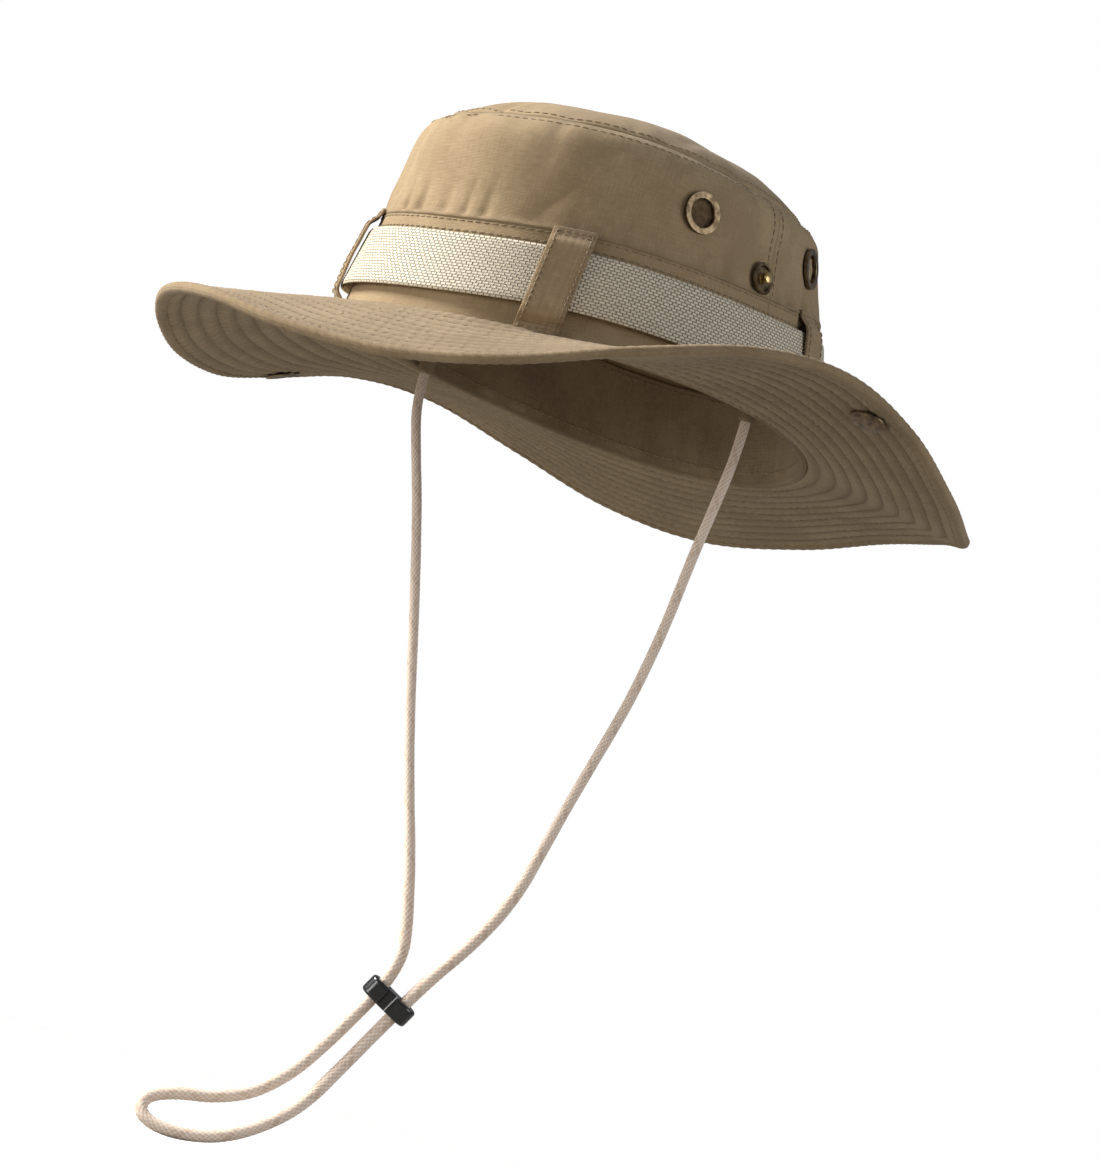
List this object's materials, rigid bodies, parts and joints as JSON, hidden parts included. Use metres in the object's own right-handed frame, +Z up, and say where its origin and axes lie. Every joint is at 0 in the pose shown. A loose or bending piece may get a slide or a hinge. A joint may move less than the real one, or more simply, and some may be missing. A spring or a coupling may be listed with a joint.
{
  "type": "boonie hat",
  "caption": "Soft wide-brim sun hat with a slumped crown, webbing band under belt loops, screened vents, snap-up brim sides and a braided chin cord with a slider.",
  "frame": {"origin": "middle of the head opening, at the seam of crown and brim", "axes": "+Z up through the crown, -Y to the front, +X to the wearer's left"},
  "size_m": [0.2842, 0.3237, 0.389],
  "materials": {
    "crown_fabric": "plain cotton weave with faint slubs",
    "brim_fabric": "plain cotton weave, stitched in rows",
    "binding": "folded edge, stitched",
    "sweatband": "soft twill",
    "stiffener": "non-woven interlining",
    "webbing": "coarse woven webbing",
    "cord": "soft round braid with flecks",
    "antique_brass": "antiqued",
    "vent_mesh": "woven screen",
    "slider_plastic": "moulded, glossy"
  },
  "bodies": {
    "hat": {"brim_binding": "binding", "brim_stiffener": "stiffener", "brim_under": "brim_fabric", "brim_upper": "brim_fabric", "chin_cord": "cord", "cord_bartack_left": "cord", "cord_bartack_right": "cord", "crown_side_back": "crown_fabric", "crown_side_front": "crown_fabric", "crown_top": "crown_fabric", "hat_band": "webbing", "loop_back": "crown_fabric", "loop_front_left": "crown_fabric", "loop_front_right": "crown_fabric", "loop_side_left": "crown_fabric", "loop_side_right": "crown_fabric", "lower_band_back": "crown_fabric", "lower_band_front": "crown_fabric", "snap_stud_back_left": "antique_brass", "snap_stud_back_right": "antique_brass", "snap_stud_left": "antique_brass", "snap_stud_right": "antique_brass", "sweatband": "sweatband", "vent_ring_left_back": "antique_brass", "vent_ring_left_front": "antique_brass", "vent_ring_right_back": "antique_brass", "vent_ring_right_front": "antique_brass", "vent_screen_left_back": "vent_mesh", "vent_screen_left_front": "vent_mesh", "vent_screen_right_back": "vent_mesh", "vent_screen_right_front": "vent_mesh", "vent_washer_left_back": "antique_brass", "vent_washer_left_front": "antique_brass", "vent_washer_right_back": "antique_brass", "vent_washer_right_front": "antique_brass"},
    "left_brim_side": {"left_flap_binding": "binding", "left_flap_stiffener": "stiffener", "left_flap_under": "brim_fabric", "left_flap_upper": "brim_fabric", "snap_cap_left": "antique_brass", "snap_socket_left": "antique_brass"},
    "right_brim_side": {"right_flap_binding": "binding", "right_flap_stiffener": "stiffener", "right_flap_under": "brim_fabric", "right_flap_upper": "brim_fabric", "snap_cap_right": "antique_brass", "snap_socket_right": "antique_brass"},
    "slider": {"cord_slider": "slider_plastic"}
  },
  "joints": [
    {"name": "left_brim_fold", "type": "hinge", "parent": "hat", "child": "left_brim_side", "pos_m": [0.084, 0, 0.008], "axis": [0, -1, 0], "range_deg": [0, 95], "stiffness_Nm_per_rad": 0.15},
    {"name": "right_brim_fold", "type": "hinge", "parent": "hat", "child": "right_brim_side", "pos_m": [-0.084, 0, 0.008], "axis": [0, 1, 0], "range_deg": [0, 95], "stiffness_Nm_per_rad": 0.15},
    {"name": "cord_slide", "type": "slide", "parent": "hat", "child": "slider", "axis": [-0.4599, -0.183, -0.8689], "range_m": [0, 0.014]}
  ]
}
